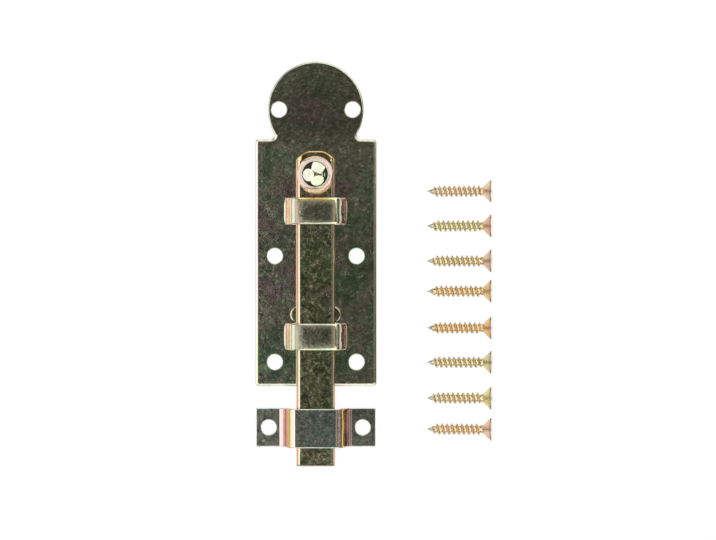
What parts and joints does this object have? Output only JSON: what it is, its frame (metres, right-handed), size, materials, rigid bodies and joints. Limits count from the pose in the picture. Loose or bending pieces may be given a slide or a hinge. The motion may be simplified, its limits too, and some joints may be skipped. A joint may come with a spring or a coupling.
{
  "type": "slide bolt",
  "caption": "Surface-mounted slide bolt with a round-lobed backplate, two pressed guides, a ball knob, a strap keeper and loose countersunk screws.",
  "frame": {"origin": "centre of the rectangle of the four lower screw holes, on the backplate's back face", "axes": "+Z away from the door, +Y along the plate away from the throw, +X across the plate towards the loose screws"},
  "size_m": [0.0734, 0.1245, 0.0198],
  "materials": {
    "plate_zinc": "zinc plated steel with a yellow chromate finish, bright and mottled olive",
    "bolt_zinc": "zinc plated steel with a yellow chromate finish, bright, brownish olive",
    "knob_zinc": "turned steel, zinc plated with a yellow chromate finish, mirror bright",
    "keeper_zinc": "zinc plated steel with a yellow chromate finish, bright, greenish",
    "screw_zinc": "zinc plated steel with a yellow chromate finish, golden"
  },
  "bodies": {
    "plate": {"backplate": "plate_zinc"},
    "bolt": {"bolt_bar": "bolt_zinc", "ball_knob": "knob_zinc"},
    "keeper": {"keeper": "keeper_zinc"},
    "screw_1": {"screw_1": "screw_zinc"},
    "screw_2": {"screw_2": "screw_zinc"},
    "screw_3": {"screw_3": "screw_zinc"},
    "screw_4": {"screw_4": "screw_zinc"},
    "screw_5": {"screw_5": "screw_zinc"},
    "screw_6": {"screw_6": "screw_zinc"},
    "screw_7": {"screw_7": "screw_zinc"},
    "screw_8": {"screw_8": "screw_zinc"}
  },
  "joints": [
    {"name": "bolt_slide", "type": "slide", "parent": "plate", "child": "bolt", "axis": [0, 1, 0], "range_m": [0, 0.025]},
    {"name": "keeper_slide", "type": "slide", "parent": "plate", "child": "keeper", "axis": [0, -1, 0], "range_m": [-0.006, 0.025]},
    {"name": "screw_1_lift", "type": "slide", "parent": "plate", "child": "screw_1", "axis": [0, 0, 1], "range_m": [0, 0.03]},
    {"name": "screw_2_lift", "type": "slide", "parent": "plate", "child": "screw_2", "axis": [0, 0, 1], "range_m": [0, 0.03]},
    {"name": "screw_3_lift", "type": "slide", "parent": "plate", "child": "screw_3", "axis": [0, 0, 1], "range_m": [0, 0.03]},
    {"name": "screw_4_lift", "type": "slide", "parent": "plate", "child": "screw_4", "axis": [0, 0, 1], "range_m": [0, 0.03]},
    {"name": "screw_5_lift", "type": "slide", "parent": "plate", "child": "screw_5", "axis": [0, 0, 1], "range_m": [0, 0.03]},
    {"name": "screw_6_lift", "type": "slide", "parent": "plate", "child": "screw_6", "axis": [0, 0, 1], "range_m": [0, 0.03]},
    {"name": "screw_7_lift", "type": "slide", "parent": "plate", "child": "screw_7", "axis": [0, 0, 1], "range_m": [0, 0.03]},
    {"name": "screw_8_lift", "type": "slide", "parent": "plate", "child": "screw_8", "axis": [0, 0, 1], "range_m": [0, 0.03]}
  ]
}
